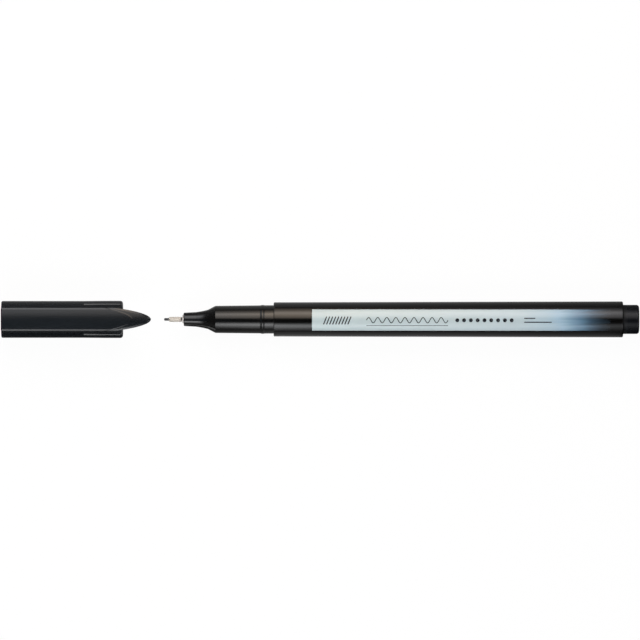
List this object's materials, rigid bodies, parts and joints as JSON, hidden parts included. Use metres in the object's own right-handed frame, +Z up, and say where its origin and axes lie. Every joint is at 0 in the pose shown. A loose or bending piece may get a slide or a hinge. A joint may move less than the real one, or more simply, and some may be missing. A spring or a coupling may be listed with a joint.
{
  "type": "fineliner pen",
  "caption": "Slim black fineliner pen with a drafted barrel, stepped front section, metal-sleeved point, tail plug and a push-on cap with a spear-nosed clip, shown uncapped.",
  "frame": {"origin": "middle of the whole length, on the surface that the cap lies on, below the common axis of pen and cap", "axes": "+X along the pen from the cap's closed end to the tail, +Z up, the side that the clip is on"},
  "size_m": [0.1786, 0.0104, 0.0126],
  "materials": {
    "barrel_black": "glossy moulded black",
    "section_black": "glossy moulded black",
    "plug_black": "satin moulded black",
    "cap_black": "satin moulded black, a little blue",
    "seal_white": "soft natural polythene",
    "ferrule_metal": "bright nickel",
    "sleeve_metal": "satin nickel silver",
    "nib_black": "ink-soaked acetal",
    "reservoir_fibre": "ink-soaked polyester fibre",
    "film_clear": "clear film"
  },
  "bodies": {
    "pen": {"barrel": "barrel_black", "front_section": "section_black", "nib_ferrule": "ferrule_metal", "nib_sleeve": "sleeve_metal", "nib_core": "nib_black", "ink_reservoir": "reservoir_fibre", "reservoir_film": "film_clear", "tail_plug": "plug_black"},
    "cap": {"cap_shell": "cap_black", "cap_inner_seal": "seal_white"}
  },
  "joints": [
    {"name": "cap_slide", "type": "slide", "parent": "pen", "child": "cap", "axis": [1, 0, 0], "range_m": [0, 0.0421]}
  ]
}
